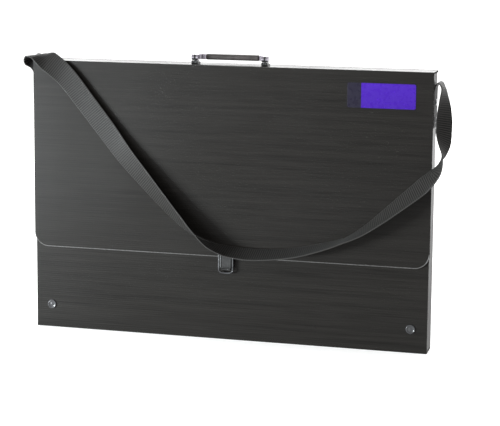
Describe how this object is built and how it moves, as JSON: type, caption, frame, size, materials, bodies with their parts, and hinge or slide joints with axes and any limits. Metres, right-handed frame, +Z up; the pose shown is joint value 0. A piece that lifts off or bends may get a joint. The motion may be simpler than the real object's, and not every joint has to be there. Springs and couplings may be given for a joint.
{
  "type": "portfolio case",
  "caption": "Dark fluted-plastic artwork portfolio case with a fold-over flap, riveted corners, a snap clasp, a carry handle and a webbing shoulder strap.",
  "frame": {"origin": "middle of the underside of the case body, where the case stands upright", "axes": "+Z up, +X along the width, front flap facing -Y"},
  "size_m": [0.6846, 0.0801, 0.449],
  "materials": {
    "fluted_sheet": "satin",
    "moulded_black": "satin",
    "snap_rivet": "gloss",
    "bright_metal": "polished",
    "plain_steel": "satin",
    "webbing": "woven",
    "label_print": "gloss"
  },
  "bodies": {
    "case": {"back_panel": "fluted_sheet", "bottom_panel": "fluted_sheet", "front_panel": "fluted_sheet", "left_side_wall": "fluted_sheet", "right_side_wall": "fluted_sheet", "left_wall_tab": "fluted_sheet", "right_wall_tab": "fluted_sheet", "corner_rivets": "snap_rivet", "corner_rivet_washers": "moulded_black", "strap_plates": "moulded_black", "strap_rivets": "plain_steel", "shoulder_strap": "webbing", "clasp_catch": "moulded_black", "catch_rivets": "plain_steel"},
    "lid_top": {"top_spine": "fluted_sheet", "handle_lug_left": "moulded_black", "handle_lug_right": "moulded_black", "handle_pin_left": "plain_steel", "handle_pin_right": "plain_steel", "handle_plate": "moulded_black", "handle_rivets": "plain_steel"},
    "flap": {"front_flap": "fluted_sheet", "label": "label_print", "clasp_base": "moulded_black", "clasp_rivets": "plain_steel", "clasp_pin": "plain_steel"},
    "handle": {"handle_arm_left": "bright_metal", "handle_arm_right": "bright_metal", "handle_grip": "moulded_black"},
    "clasp": {"clasp_bail": "moulded_black"}
  },
  "joints": [
    {"name": "spine_hinge", "type": "hinge", "parent": "case", "child": "lid_top", "pos_m": [0, 0.02, 0.434], "axis": [-1, 0, 0], "range_deg": [0, 90], "deforming": ["shoulder_strap"]},
    {"name": "flap_hinge", "type": "hinge", "parent": "lid_top", "child": "flap", "pos_m": [0, -0.0233, 0.434], "axis": [-1, 0, 0], "range_deg": [0, 90], "deforming": ["shoulder_strap"]},
    {"name": "handle_swing", "type": "hinge", "parent": "lid_top", "child": "handle", "pos_m": [0, -0.008, 0.4445], "axis": [1, 0, 0], "range_deg": [0, 160]},
    {"name": "clasp_swing", "type": "hinge", "parent": "flap", "child": "clasp", "pos_m": [0, -0.0255, 0.1445], "axis": [-1, 0, 0], "range_deg": [0, 150]}
  ]
}
